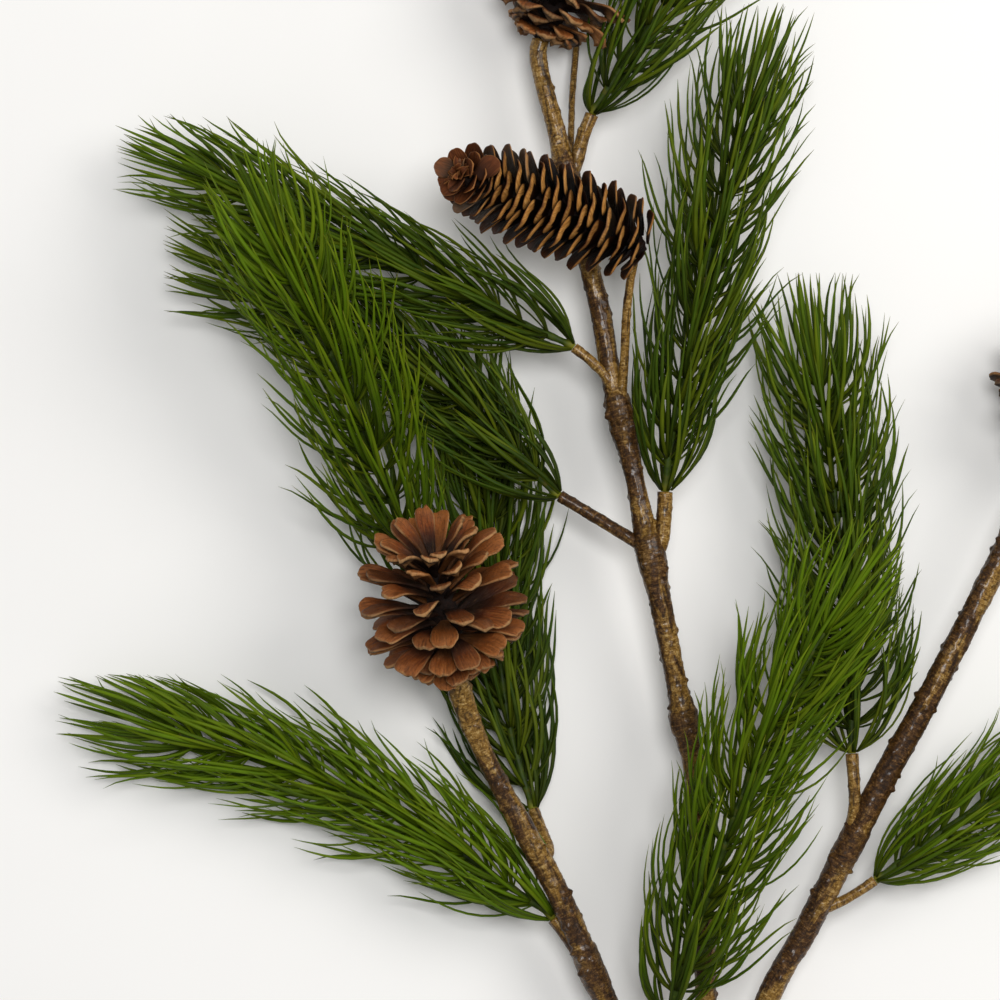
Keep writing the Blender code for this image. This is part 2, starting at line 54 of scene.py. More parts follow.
# Stems: (x, y, z, radius) down each centre line, thickest at the joint bands.
STEMS = {
    "centre": (
        (0, -24, 10.8, 11.8), (0, 0, 10.8, 11.8), (0, 28, 11.6, 11.2), (1, 60, 15, 9.6),
        (3, 105, 22, 6.4), (3.5, 160, 29, 5.6), (1.5, 220, 35, 5.5), (-4, 282, 40, 5.5),
        (-7.5, 297, 41, 6.6), (-9, 306, 41.6, 6.5), (-12, 320, 42.5, 5.3), (-20, 360, 45, 5.8),
        (-24.5, 383, 46, 6.8), (-27.5, 395, 46, 6), (-32.5, 420, 46, 4.8), (-39, 450, 45, 6.4),
        (-44, 470, 44, 5.4), (-50, 505, 42, 5.2), (-60, 545, 40, 5), (-66.5, 572, 39, 6.6),
        (-71, 592, 38, 4.8), (-78.5, 620, 37, 4.5), (-81, 633, 36.5, 4.4), (-79.5, 641, 36.5, 4.3)),
    "left": (
        (0.5, 58, 15, 5), (-8, 80, 20, 5.8), (-25, 112, 25, 5.8), (-50, 165, 31, 6.2),
        (-68, 207, 37, 6), (-88, 245, 43, 5.8), (-104.5, 276, 48, 5), (-114, 297, 51.5, 5.4),
        (-118.5, 310, 54.5, 5.8), (-121, 319, 58.5, 6), (-122.5, 326, 63, 5.8)),
    "right": (
        (2, 72, 17, 5), (11, 98, 21, 5.8), (35.5, 160.5, 29, 6), (54, 195, 34, 6.2),
        (76.5, 240, 40, 6.4), (94.5, 275, 44, 6.4), (116, 315, 46, 6.2), (138, 357, 45, 5.9),
        (159, 400, 43, 5.6), (173, 429, 40.4, 5.4)),
}
TWIGS = {
    "spray_1": ((-40, 455, 45, 3.4), (-46, 470, 47, 2.8), (-54, 479, 48, 2.7), (-63, 486, 48, 2.8)),
    "spray_2": ((-118, 309, 54, 4.2), (-124, 320, 40, 3.2), (-131, 338, 30.5, 3),
                (-135, 360, 30, 3)),
    "spray_3": ((-25, 385, 46, 3.6), (-40, 394, 44, 3.2), (-55, 403, 42, 3.1), (-70, 412, 41, 3.2)),
    "spray_4": ((-80, 229, 41, 4), (-76, 234, 33, 3.4), (-79, 243, 25, 3.2), (-83, 253, 18.5, 3.2)),
    "spray_5": ((-52, 170, 31.5, 4.4), (-62, 184, 32, 3.6), (-67.5, 192, 32.5, 3.4),
                (-73, 199.5, 32.5, 3.4)),
    "spray_6": ((-5, 74, 19, 4), (-13, 110, 31, 3.4), (-16.5, 135, 40, 3.2), (-16, 152, 46, 3.2)),
    "spray_7": ((76, 240, 40, 4.2), (77.5, 256, 43.5, 3.3), (77, 270, 44.5, 3.3),
                (76, 283, 44, 3.4)),
    "spray_8": ((60, 205, 35.5, 3.8), (70, 208, 36, 2.7), (79, 213, 36.5, 2.6),
                (88, 219, 36.5, 2.8)),
    "spray_9": ((-66, 570, 39, 4), (-61.5, 580, 40, 3.6), (-58.5, 592, 41, 3.5),
                (-54, 603, 41.5, 3.5)),
    "spray_10": ((-24, 381, 46, 4.4), (-19.5, 389, 46, 4), (-18, 401, 46.5, 3.9),
                 (-17.5, 414, 47, 3.9)),
    "cone_long": ((-40, 453, 46, 3.2), (-38, 480, 50, 2.4), (-37, 502, 53.5, 2.3),
                  (-35, 520, 58, 2.3), (-33, 531, 63, 2.6)),
    "bare_shoot": ((-66, 570, 39, 3), (-64.5, 590, 34, 1.9), (-63.5, 615, 24, 1.8),
                   (-61, 643, 11, 1.7)),
}

# Sprays: the points of the leader's line from the twig on.
SPRAYS = {
    "spray_1": ((-95, 501, 49), (-125, 516.5, 50), (-155, 531, 49), (-185, 545, 46),
                (-215, 558.5, 42), (-236, 568, 39)),
    "spray_2": ((-144, 385, 34), (-154, 408, 43), (-163, 436, 56), (-178, 470, 70), (-195, 505, 79),
                (-208, 530, 83)),
    "spray_3": ((-105, 445, 38), (-140, 475, 35), (-180, 500, 31), (-216, 517.5, 28)),
    "spray_4": ((-94, 290, 13.5), (-100, 330, 12.5), (-101.5, 370, 12.5), (-106.5, 410, 13.5),
                (-111, 438, 15)),
    "spray_5": ((-100, 219, 31), (-130, 239, 28), (-170, 260, 25), (-210, 276, 22), (-250, 288, 20),
                (-264, 292, 19)),
    "spray_6": ((-5, 188, 56), (6, 222, 64), (19, 262, 70), (35, 299, 74), (52, 331, 76),
                (61, 346, 77)),
    "spray_7": ((76, 310, 41), (74, 350, 37), (69.5, 400, 35), (64, 445, 34), (61, 468, 34)),
    "spray_8": ((130, 249, 36), (175, 276, 34), (215, 301, 31), (245, 319, 28)),
    "spray_9": ((-30, 640, 41), (0, 682.5, 38), (30, 722.5, 34), (50, 752.5, 31)),
    "spray_10": ((-14, 445, 49), (-4, 485, 51), (4, 530, 52), (14, 575, 52), (22, 602, 51)),
}
# The angle that a spray's needles stand off its leader, its height as a share of its width, the
# needles in a whorl, and how light it is: partly its own tone, partly painted light and shade.
SPRAY_LOOKS = {
    "spray_1": (25, 0.7, 19, 0.5), "spray_2": (34, 0.46, 22, 0.67),
    "spray_3": (27, 0.53, 20, 0.35), "spray_4": (30, 0.32, 20, 0.1),
    "spray_5": (29, 0.65, 20, 1.1), "spray_6": (33, 0.46, 22, 0.68),
    "spray_7": (34, 0.43, 23, 0.31), "spray_8": (28, 0.75, 20, 0.95),
    "spray_9": (27, 0.75, 19, 0.4), "spray_10": (28, 0.65, 20, 0.25),
}

# A piece starts this far past its twig's end, and then runs straight ahead this far.
SEAT_GAP = 0.3
SQUARE_START = 2.5

# Cones: what they grow on, the axis of the core and its length, and the reach, which is how far the
# longest scales get from the axis.
CONES = {
    "cone_left": dict(on=STEMS["left"], axis=(-0.16, 0.85, 0.5), core=54.0, reach=43.0, seed=3),
    "cone_top": dict(on=STEMS["centre"], axis=(0.42, 0.907, 0.0), core=48.0, reach=38.6, seed=5),
    "cone_right": dict(on=STEMS["right"], axis=(0.43, 0.9, 0.0), core=54.0, reach=43.6, seed=8),
    "cone_long": dict(on=TWIGS["cone_long"], axis=(-0.905, 0.34, 0.25), tip_axis=(-0.87, 0.29, 0.4),
                      core=101.0, reach=25.6, seed=4, shift=(0.0, -2.6, 0.0)),
}


def srgb(code):
    """A colour as the shaders take it, from its usual six-digit code."""
    parts = [int(code[i:i + 2], 16) / 255.0 for i in (1, 3, 5)]
    return tuple(p / 12.92 if p <= 0.04045 else ((p + 0.055) / 1.055) ** 2.4 for p in parts) + (1.0,)


def stops(*pairs):
    """A function that runs straight between (place, value) pairs and takes arrays."""
    places, values = zip(*pairs)
    return lambda t: np.interp(t, places, values)


def ease(low, high, value):
    """0 below low, 1 above high, and smooth between."""
    t = np.clip((value - low) / (high - low), 0.0, 1.0)
    return t * t * (3.0 - 2.0 * t)


def unit(vectors):
    """The vectors with a length of one."""
    vectors = np.asarray(vectors, float)
    return vectors / np.maximum(np.linalg.norm(vectors, axis=-1, keepdims=True), 1e-9)


# ---- noise
def lattice(cells, seed):
    """A repeatable value from 0 to 1 for each cell of a grid."""
    x, y, z = np.moveaxis(cells, -1, 0)
    mixed = (x * 73856093) ^ (y * 19349663) ^ (z * 83492791) ^ (seed * 374761393)
    for shift, odd in ((13, 1274126177), (16, 668265263)):
        mixed = ((mixed ^ (mixed >> shift)) * odd) & 0xFFFFFFFF
    return ((mixed >> 8) & 0xFFFF) / 65535.0


def noise(points, seed):
    """Smooth noise from -1 to 1 at each point, with features about one unit apart."""
    cells = np.floor(points).astype(np.int64)
    f = points - cells
    f = f * f * (3.0 - 2.0 * f)
    total = np.zeros(points.shape[:-1])
    for corner in range(8):
        step = np.array((corner & 1, corner >> 1 & 1, corner >> 2 & 1))
        weight = np.prod(np.where(step, f, 1.0 - f), axis=-1)
        total += weight * lattice(cells + step, seed)
    return 2.0 * total - 1.0


def fractal(points, seed):
    """Three layers of noise, each half as large and as high as the one before."""
    return sum(noise(points * 2.0 ** k, seed + 17 * k) * 0.5 ** k for k in range(3))


# ---- lines
def smooth_line(points, step):
    """The given points, and more about a step apart on a smooth curve between them."""
    knots = np.array(points, dtype=float)
    ends = np.vstack([2 * knots[0] - knots[1], knots, 2 * knots[-1] - knots[-2]])
    route = []
    for a, b, c, d in zip(ends[:-3], ends[1:-2], ends[2:-1], ends[3:]):
        count = max(1, round(np.linalg.norm(c[:3] - b[:3]) / step))
        for t in np.linspace(0.0, 1.0, count, endpoint=False):
            route.append(0.5 * (2 * b + (c - a) * t + (2 * a - 5 * b + 4 * c - d) * t * t
                                + (3 * b - a - 3 * c + d) * t ** 3))
    return np.vstack(route + [knots[-1]])


def run_of(line):
    """How far along a line each of its points is."""
    return np.concatenate([[0.0], np.cumsum(np.linalg.norm(np.diff(line[:, :3], axis=0), axis=1))])


def even_line(points, step):
    """A smooth line with its points evenly about a step apart."""
    line = smooth_line(points, step)
    along = run_of(line)
    here = np.linspace(0.0, along[-1], max(3, round(along[-1] / step) + 1))
    return np.column_stack([np.interp(here, along, column) for column in line.T])


def on_line(line, shares):
    """Points at shares of a line's length, and the directions there."""
    along = run_of(line)
    here = np.asarray(shares) * along[-1]
    points = np.column_stack([np.interp(here, along, column) for column in line[:, :3].T])
    ahead = unit(np.gradient(line[:, :3], axis=0))
    return points, unit(np.column_stack([np.interp(here, along, column) for column in ahead.T]))


def around(axis):
    """Two directions square to each axis and to each other, the first of them level."""
    level = unit(np.cross(UP, axis))
    return level, unit(np.cross(axis, level))


def turned(first, second, angle):
    """The directions at an angle from the first towards the second."""
    return first * np.cos(angle)[..., None] + second * np.sin(angle)[..., None]


def chain(root, steps):
    """Lines that start at each root and go on by the steps."""
    return np.concatenate([root[:, None], root[:, None] + np.cumsum(steps, axis=1)], axis=1)


def stacked(*parts):
    """Points whose coordinates are the parts, spread to one shape."""
    return np.stack(np.broadcast_arrays(*parts), axis=-1)


def seat_on(route):
    """Where a piece starts past the end of a stem or twig, and the way that it leaves it."""
    line = even_line(route, 2.0)[:, :3]
    ahead = unit(line[-1] - line[-2])
    return line[-1] + ahead * SEAT_GAP, ahead


def leaving(seat, ahead, points, step):
    """A line that leaves its seat square to it and goes on through the points."""
    return even_line([seat, seat + ahead * SQUARE_START, *points], step)


def new_object(name, data):
    """An object in the scene."""
    made = bpy.data.objects.new(name, data)
    bpy.context.scene.collection.objects.link(made)
    return made


# ---- pieces
class Piece:
    """Rings of points gathered into one object, with values at each point for its materials."""

    def __init__(self):
        self.points, self.faces, self.slots, self.values, self.count = [], [], [], {}, 0

    def add(self, rings, material, **values):
        """Closed bars: rings is (bars, steps along, points round, 3)."""
        bars, steps, sides = rings.shape[:3]
        index = self.count + np.arange(bars * steps * sides).reshape(bars, steps, sides)
        after = np.roll(index, -1, axis=2)
        corners = [index[:, :-1], after[:, :-1], after[:, 1:], index[:, 1:]]
        quads = np.stack(corners, axis=-1).reshape(-1, 4)
        self.faces += quads.tolist() + index[:, 0, ::-1].tolist() + index[:, -1].tolist()
        self.slots += [material] * (len(quads) + 2 * bars)
        self.points.append(rings.reshape(-1, 3))
        for name, value in values.items():
            shape = rings.shape[:3] + (() if np.ndim(value) < 4 else (3,))
            spread = np.broadcast_to(value, shape).reshape((-1,) + shape[3:])
            self.values.setdefault(name, []).append((self.count, spread))
        self.count += bars * steps * sides

    def build(self, name, node, materials):
        """The object, which stands for a node."""
        mesh = bpy.data.meshes.new(name)
        mesh.from_pydata((np.vstack(self.points) * MM).tolist(), [], self.faces)
        for key, chunks in self.values.items():
            vector = chunks[0][1].ndim == 2
            stored = np.zeros((self.count, 3) if vector else self.count, np.float32)
            for start, values in chunks:
                stored[start:start + len(values)] = values
            attribute = mesh.attributes.new(key, "FLOAT_VECTOR" if vector else "FLOAT", "POINT")
            attribute.data.foreach_set("vector" if vector else "value", stored.ravel())
        for material in materials:
            mesh.materials.append(material)
        mesh.polygons.foreach_set("material_index", self.slots)
        mesh.polygons.foreach_set("use_smooth", [True] * len(mesh.polygons))
        mesh.update()
        made = new_object(name, mesh)
        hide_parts(node)
        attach(made, "root")


def ring_frames(lines, side):
    """Directions across and over each point of lines (bars, steps, 3), with across near side."""
    ahead = unit(np.gradient(lines, axis=1))
    across = unit(side - ahead * np.sum(side * ahead, axis=-1, keepdims=True))
    return across, np.cross(ahead, across)


def sweep(lines, side, width, depth, section):
    """Rings round each line: section holds (across, over) points of a unit outline."""
    across, over = ring_frames(lines, side)
    x = section[:, 0] * width[..., None]
    y = section[:, 1] * depth[..., None]
    return lines[:, :, None] + across[:, :, None] * x[..., None] + over[:, :, None] * y[..., None]


def circle(sides):
    """The unit outline of a round bar."""
    turn = np.arange(sides) * math.tau / sides
    return np.column_stack([np.cos(turn), np.sin(turn)])


# ---- materials
class Shader:
    """A material whose colour, roughness and bump come from its own nodes."""

    def __init__(self, name, **constants):
        self.material = bpy.data.materials.new(name)
        self.material.use_nodes = True
        self.tree = self.material.node_tree
        self.surface = self.tree.nodes["Principled BSDF"]
        for key, value in constants.items():
            self.surface.inputs[key.replace("_", " ")].default_value = value

    def node(self, kind, inputs=None, **settings):
        """A node whose inputs are other nodes' sockets, numbers, vectors or colour codes."""
        made = self.tree.nodes.new("ShaderNode" + kind)
        for key, value in settings.items():
            setattr(made, key, value)
        for key, value in (inputs or {}).items():
            if isinstance(value, bpy.types.NodeSocket):
                self.tree.links.new(value, made.inputs[key])
            else:
                made.inputs[key].default_value = srgb(value) if isinstance(value, str) else value
        return made

    def value(self, name):
        return self.node("Attribute", attribute_name=name).outputs["Fac"]

    def vector(self, name):
        return self.node("Attribute", attribute_name=name).outputs["Vector"]

    def stretched(self, vector, scale):
        return self.node("VectorMath", {0: vector, 1: scale}, operation="MULTIPLY").outputs[0]

    def noise(self, vector, scale=1.0, detail=3.0, roughness=0.55, distortion=0.0):
        inputs = {"Vector": vector, "Scale": scale, "Detail": detail, "Roughness": roughness,
                  "Distortion": distortion}
        return self.node("TexNoise", inputs).outputs["Fac"]

    def ramp(self, value, *pairs):
        """A colour or grey ramp of (place, colour code or grey) pairs, from the lowest place up."""
        made = self.node("ValToRGB", {"Fac": value})
        elements = made.color_ramp.elements
        while len(elements) < len(pairs):
            elements.new(0.5)
        for element, (place, colour) in zip(elements, pairs):
            element.position = place
            element.color = srgb(colour) if isinstance(colour, str) else (colour, colour, colour, 1.0)
        return made.outputs["Color"]

    def math(self, operation, *inputs):
        return self.node("Math", dict(enumerate(inputs)), operation=operation).outputs[0]

    def times(self, a, b):
        return self.math("MULTIPLY", a, b)

    def mix(self, share, under, over):
        """The share of the second colour over the first."""
        return self.node("Mix", {0: share, 6: under, 7: over}, data_type="RGBA").outputs[2]

    def tint(self, under, over, value, *pairs):
        """The second colour over the first, as much as a ramp of the value says."""
        return self.mix(self.ramp(value, *pairs), under, over)

    def finish(self, colour, roughness, height=None, relief=None):
        """The material, with a bump of the height as deep as the relief in millimetres."""
        link = self.tree.links.new
        link(colour, self.surface.inputs["Base Color"])
        link(roughness, self.surface.inputs["Roughness"])
        if height is not None:
            bump = self.node("Bump", {"Height": height, "Distance": relief * MM})
            link(bump.outputs["Normal"], self.surface.inputs["Normal"])
        return self.material


def needle_material():
    """Deep green, darker at the leader partly as painted shade, olive towards the tip, with a soft
    sheen; each spray gets painted light and shade.
    """
    s = Shader("needle", Specular_IOR_Level=0.07)
    along, tone, light = s.value("along"), s.value("tone"), s.value("light")
    place = s.vector("grain")
    grain = s.noise(s.stretched(place, (2.4, 2.4, 0.12)))
    blotch = s.noise(place, 0.05, detail=2.0)
    # Both greens darken towards the leader: partly the needles' own colour, partly painted shade in
    # the spray's crowded middle.
    green = s.ramp(along, (0.0, "#131c01"), (0.2, "#203002"), (0.5, "#365003"), (0.8, "#4f6a04"),
                   (0.94, "#6c7a10"), (1.0, "#8c7a2c"))
    tone_and_painted_shade = s.ramp(along, (0.0, "#0a1402"), (0.3, "#112304"), (0.7, "#1f3a07"), (0.95, "#3c540c"),
                  (1.0, "#6f6a24"))
    # The light value mixes a shaded copy of the greens with a lit one: painted light and shade, with
    # some of each spray's own tone.
    base = s.tint(tone_and_painted_shade, green, light, (0.0, 0.0), (0.7, 1.0))
    base = s.tint(base, "#648508", light, (0.5, 0.0), (0.85, 0.3), (1.0, 0.6))
    base = s.tint(base, "#6b760e", tone, (0.6, 0.0), (1.0, 0.5))
    base = s.tint(base, "#132602", tone, (0.0, 0.6), (0.35, 0.0))
    base = s.tint(base, "#1f3a03", blotch, (0.35, 0.35), (0.6, 0.0))
    colour = s.tint(base, "#8c9626", grain, (0.35, 0.0), (0.75, 0.18))
    colour = s.mix(0.16, colour, "#050a01")
    rough = s.ramp(grain, (0.3, 0.36), (0.7, 0.52))
    return s.finish(colour, rough, grain, 0.25)


def leader_material():
    """The leader's olive skin, and yellower where it swells at its foot."""
    s = Shader("leader", Specular_IOR_Level=0.15)
    place, knot = s.vector("grain"), s.value("along")
    patches = s.noise(place, 0.25, detail=4.0)
    skin = s.ramp(patches, (0.3, "#1c2a06"), (0.55, "#33440c"), (0.75, "#544e17"))
    colour = s.tint(skin, "#7c7a22", knot, (0.0, 0.8), (0.03, 0.0))
    return s.finish(colour, s.ramp(patches, (0.3, 0.45), (0.7, 0.65)), patches, 0.5)


def bark_material():
    """Glossy thin bark: olive-tan, patched dark brown, with ring cracks and small nubs."""
    s = Shader("bark", Specular_IOR_Level=0.15, Coat_Weight=0.32, Coat_Roughness=0.2)
    grain, relief = s.vector("grain"), s.value("relief")
    shade, nub, sleeve = s.value("shade"), s.value("nub"), s.value("sleeve")
    large = s.noise(s.stretched(grain, (0.1, 0.1, 0.035)), detail=5.0, roughness=0.6, distortion=0.6)
    rings = s.noise(s.stretched(grain, (0.25, 0.25, 0.7)), detail=5.0, roughness=0.65, distortion=1.0)
    fine = s.noise(s.stretched(grain, (0.9, 0.9, 0.6)), detail=6.0, roughness=0.75, distortion=0.5)
    mixed = s.math("MULTIPLY_ADD", rings, 0.55, s.times(fine, 0.45))
    tan = s.ramp(mixed, (0.37, "#321f07"), (0.45, "#614314"), (0.52, "#876427"), (0.62, "#b49862"))
    brown = s.ramp(mixed, (0.37, "#110903"), (0.46, "#321d08"), (0.54, "#503413"), (0.63, "#86643b"))
    # The shade value holds the bark's own darker patches and painted shade on the branch's left
    # flank.
    cover = s.math("ADD", large, s.times(shade, 0.3))
    colour = s.tint(tan, brown, cover, (0.6, 0.0), (0.68, 1.0))
    # Darker in the cracks and low places: partly the cracks' own dark colour, partly painted shade in
    # the hollows.
    colour = s.tint(colour, "#1d0e04", relief, (0.0, 0.85), (0.4, 0.0))
    colour = s.mix(s.times(sleeve, 0.75), colour, brown)
    colour = s.mix(s.times(nub, 0.6), colour, "#2a1608")
    rough = s.ramp(mixed, (0.35, 0.3), (0.65, 0.5))
    return s.finish(colour, rough, mixed, 1.1)


def wood_material():
    """The sawn end: pale wood with close rings round its pith, darker under the bark."""
    s = Shader("end_grain", Specular_IOR_Level=0.3)
    grain = s.vector("grain")
    level = s.stretched(grain, (1.0, 1.0, 0.0))
    out = s.node("VectorMath", {0: level}, operation="LENGTH").outputs[1]
    wobble = s.noise(grain, 0.35)
    rings = s.math("SINE", s.times(s.math("ADD", out, s.times(wobble, 1.6)), 6.5))
    fine = s.noise(grain, 2.2, detail=4.0)
    colour = s.ramp(s.math("MULTIPLY_ADD", rings, 0.3, 0.5), (0.2, "#b08a55"), (0.8, "#d8bd88"))
    colour = s.tint(colour, "#8a6238", fine, (0.4, 0.0), (0.75, 0.5))
    colour = s.mix(s.ramp(s.math("DIVIDE", out, 12.0), (0.8, 0.0), (0.9, 1.0)), colour, "#3a2414")
    return s.finish(colour, s.ramp(fine, (0.3, 0.6), (0.7, 0.85)), s.math("ADD", rings, fine), 0.25)


def round_scale_material():
    """Open cone scales: chestnut inside with painted shade near black at the root, a thin tan rim,
    and dark outside with a paler pad.
    """
    s = Shader("round_scale", Specular_IOR_Level=0.2)
    grain, face, along = s.vector("grain"), s.value("face"), s.value("along")
    rim, pad, tone = s.value("rim"), s.value("pad"), s.value("tone")
    stripes = s.noise(s.stretched(grain, (1.3, 1.3, 0.14)), detail=4.0, roughness=0.6)
    cloud = s.noise(grain, 0.12)
    # Painted shade: the inner face goes nearly black towards the root, deep between the scales.
    inside = s.ramp(along, (0.1, "#050201"), (0.4, "#140702"), (0.56, "#48200a"), (0.72, "#7b3d15"),
                    (1.0, "#96592c"))
    inside = s.tint(inside, "#2f170a", stripes, (0.32, 0.65), (0.55, 0.0))
    inside = s.tint(inside, "#a77945", stripes, (0.55, 0.0), (0.85, 0.45))
    outside = s.ramp(stripes, (0.25, "#0b0503"), (0.6, "#1c0f08"), (0.85, "#3a2414"))
    padded = s.ramp(stripes, (0.2, "#4a2e17"), (0.55, "#84603a"), (0.85, "#b08c5c"))
    outside = s.tint(outside, padded, pad, (0.1, 0.0), (0.6, 0.95))
    colour = s.tint(outside, inside, face, (0.45, 0.0), (0.55, 1.0))
    edge = s.ramp(rim, (0.0, 1.0), (0.03, 0.6), (0.07, 0.0))
    edge = s.times(edge, s.ramp(cloud, (0.3, 0.3), (0.6, 1.0)))
    colour = s.mix(s.times(edge, s.ramp(along, (0.5, 0.0), (0.75, 0.9))), colour, "#b38a5a")
    colour = s.tint(colour, "#241008", tone, (0.0, 0.55), (0.5, 0.0))
    colour = s.tint(colour, "#a5642c", tone, (0.65, 0.0), (1.0, 0.35))
    colour = s.tint(colour, "#6b5443", cloud, (0.5, 0.0), (0.8, 0.25))
    rough = s.ramp(stripes, (0.3, 0.42), (0.75, 0.68))
    crumb = s.noise(grain, 0.9, detail=5.0, roughness=0.7)
    colour = s.tint(colour, "#2a1308", crumb, (0.35, 0.4), (0.5, 0.0))
    height = s.math("ADD", stripes, s.math("MULTIPLY_ADD", cloud, 1.5, s.times(crumb, 0.8)))
    return s.finish(colour, rough, height, 0.8)


def long_scale_material():
    """The long cone's thin scales: dark with painted shade near black at the root, and a crisp
    orange-tan end on the outside of each.
    """
    s = Shader("long_scale", Specular_IOR_Level=0.1)
    grain, along, face = s.vector("grain"), s.value("along"), s.value("face")
    rim, tone, apex = s.value("rim"), s.value("tone"), s.value("apex")
    stripes = s.noise(s.stretched(grain, (1.4, 1.4, 0.16)), detail=4.0, roughness=0.6)
    cloud = s.noise(grain, 0.15)
    edge = s.math("MULTIPLY_ADD", s.noise(grain, 0.5, detail=2.0), 0.05, rim)
    # The scales' dark brown, painted near black towards the root as painted shade between the scales.
    body_and_painted_shade = s.ramp(along, (0.2, "#040201"), (0.6, "#0b0502"), (0.8, "#241208"), (1.0, "#4e2b14"))
    outer = s.ramp(stripes, (0.25, "#6d421b"), (0.5, "#b57d3d"), (0.8, "#dba85f"))
    outer = s.tint(outer, "#6b4526", rim, (0.02, 0.7), (0.12, 0.0))
    lens = s.times(s.ramp(edge, (0.54, 1.0), (0.6, 0.0)), s.ramp(along, (0.52, 0.0), (0.6, 1.0)))
    lens = s.times(lens, s.ramp(face, (0.4, 1.0), (0.6, 0.0)))
    colour = s.mix(lens, body_and_painted_shade, outer)
    rosette = s.ramp(stripes, (0.25, "#381a0c"), (0.55, "#6b3a1d"), (0.8, "#8a5330"))
    rosette = s.tint(rosette, "#a5713f", rim, (0.0, 0.6), (0.05, 0.0))
    # Painted shade: the rosette's scales darken towards their roots.
    rosette = s.tint(rosette, "#170a04", along, (0.3, 0.95), (0.8, 0.0))
    colour = s.mix(s.times(apex, 0.85), colour, rosette)
    colour = s.tint(colour, "#3a1c0c", tone, (0.0, 0.5), (0.4, 0.0))
    colour = s.tint(colour, "#84705a", tone, (0.75, 0.0), (1.0, 0.4))
    colour = s.tint(colour, "#2e180b", cloud, (0.5, 0.0), (0.8, 0.3))
    rough = s.ramp(stripes, (0.3, 0.45), (0.75, 0.7))
    return s.finish(colour, rough, stripes, 0.5)


def core_material():
    """The cone's core, dark brown with painted shade, nearly black between the scales."""
    s = Shader("cone_core", Specular_IOR_Level=0.2)
    rough = s.noise(s.vector("grain"), 0.6, detail=4.0)
    # Painted shade: the core is nearly black where it sits deep between the scales.
    colour = s.ramp(rough, (0.3, "#070302"), (0.7, "#1f0f08"))
    return s.finish(colour, s.ramp(rough, (0.3, 0.7), (0.7, 0.9)), rough, 1.0)


def floor_material():
    """A plain pale table top."""
    s = Shader("table_top", Specular_IOR_Level=0.2)
    place = s.node("TexCoord").outputs["Object"]
    cloud = s.noise(place, 3.0)
    colour = s.ramp(cloud, (0.3, "#f1f0ee"), (0.7, "#f6f5f3"))
    return s.finish(colour, s.ramp(cloud, (0.3, 0.75), (0.7, 0.85)))


# ---- stems
BARK_STEP = 0.95
FEWEST_SIDES = 14
# How dark each stem's bark is from its lower end to its tip.
STEM_SHADE = {
    "centre": stops((0, 0.35), (0.2, 0.3), (0.45, 0.25), (0.6, 0.35), (0.72, 0.55), (0.86, 0.1),
                    (1, 0)),
    "left": stops((0, 0.3), (0.5, 0.55), (0.75, 0.4), (1, 0.1)),
    "right": stops((0, 0.4), (0.35, 0.45), (0.6, 0.75), (1, 0.8)),
}
TWIG_SHADE = {"spray_3": 0.6, "spray_5": 0.4, "spray_1": 0.3}
PLAIN_TWIG_SHADE = 0.05
# Painted shade: the bark is darker on the branch's left flank, as if shaded from light on its right.
PAINTED_FLANK_SHADE = 0.25
# Sleeves of thick dark bark at the joints: from and to in Y, with a ledge at the upper end.
SLEEVES = {
    "centre": ((288, 305), (374, 392), (445, 462), (566, 581)),
    "left": ((168, 186),),
    "right": ((232, 246),),
}
SLEEVE_RISE = 0.75
SLEEVE_SLOPE = 9.0
SLEEVE_LEDGE = 0.6
# The bark's relief: each layer's height, its scale across and along the stem, and its seed.
BARK_LAYERS = ((0.26, (0.16, 0.16, 0.07), 0), (0.12, (0.75, 0.75, 0.16), 3),
               (0.26, (0.7, 0.7, 0.6), 5), (0.08, (0.14, 0.14, 0.5), 6))
CRACK_DEPTH = 0.32
SKIN_INSET = 0.12
# A stem of this radius has the full relief, a thin one less, and a thick one up to the share.
FULL_RELIEF_RADIUS = 6.0
MOST_RELIEF = 1.2
NUB_SPACING = 3.6
NUB_SIZE = (0.9, 1.4)
NUB_HEIGHT = (0.7, 1.7)
NUB_MARGIN = 3.0
END_RINGS = 10
END_DISH = 0.25
# A twig's rounded end: shares of its radius, each this far past its last ring.
END_ROUNDING = ((0.9, 0.08), (0.7, 0.15), (0.4, 0.2), (0.1, 0.22))


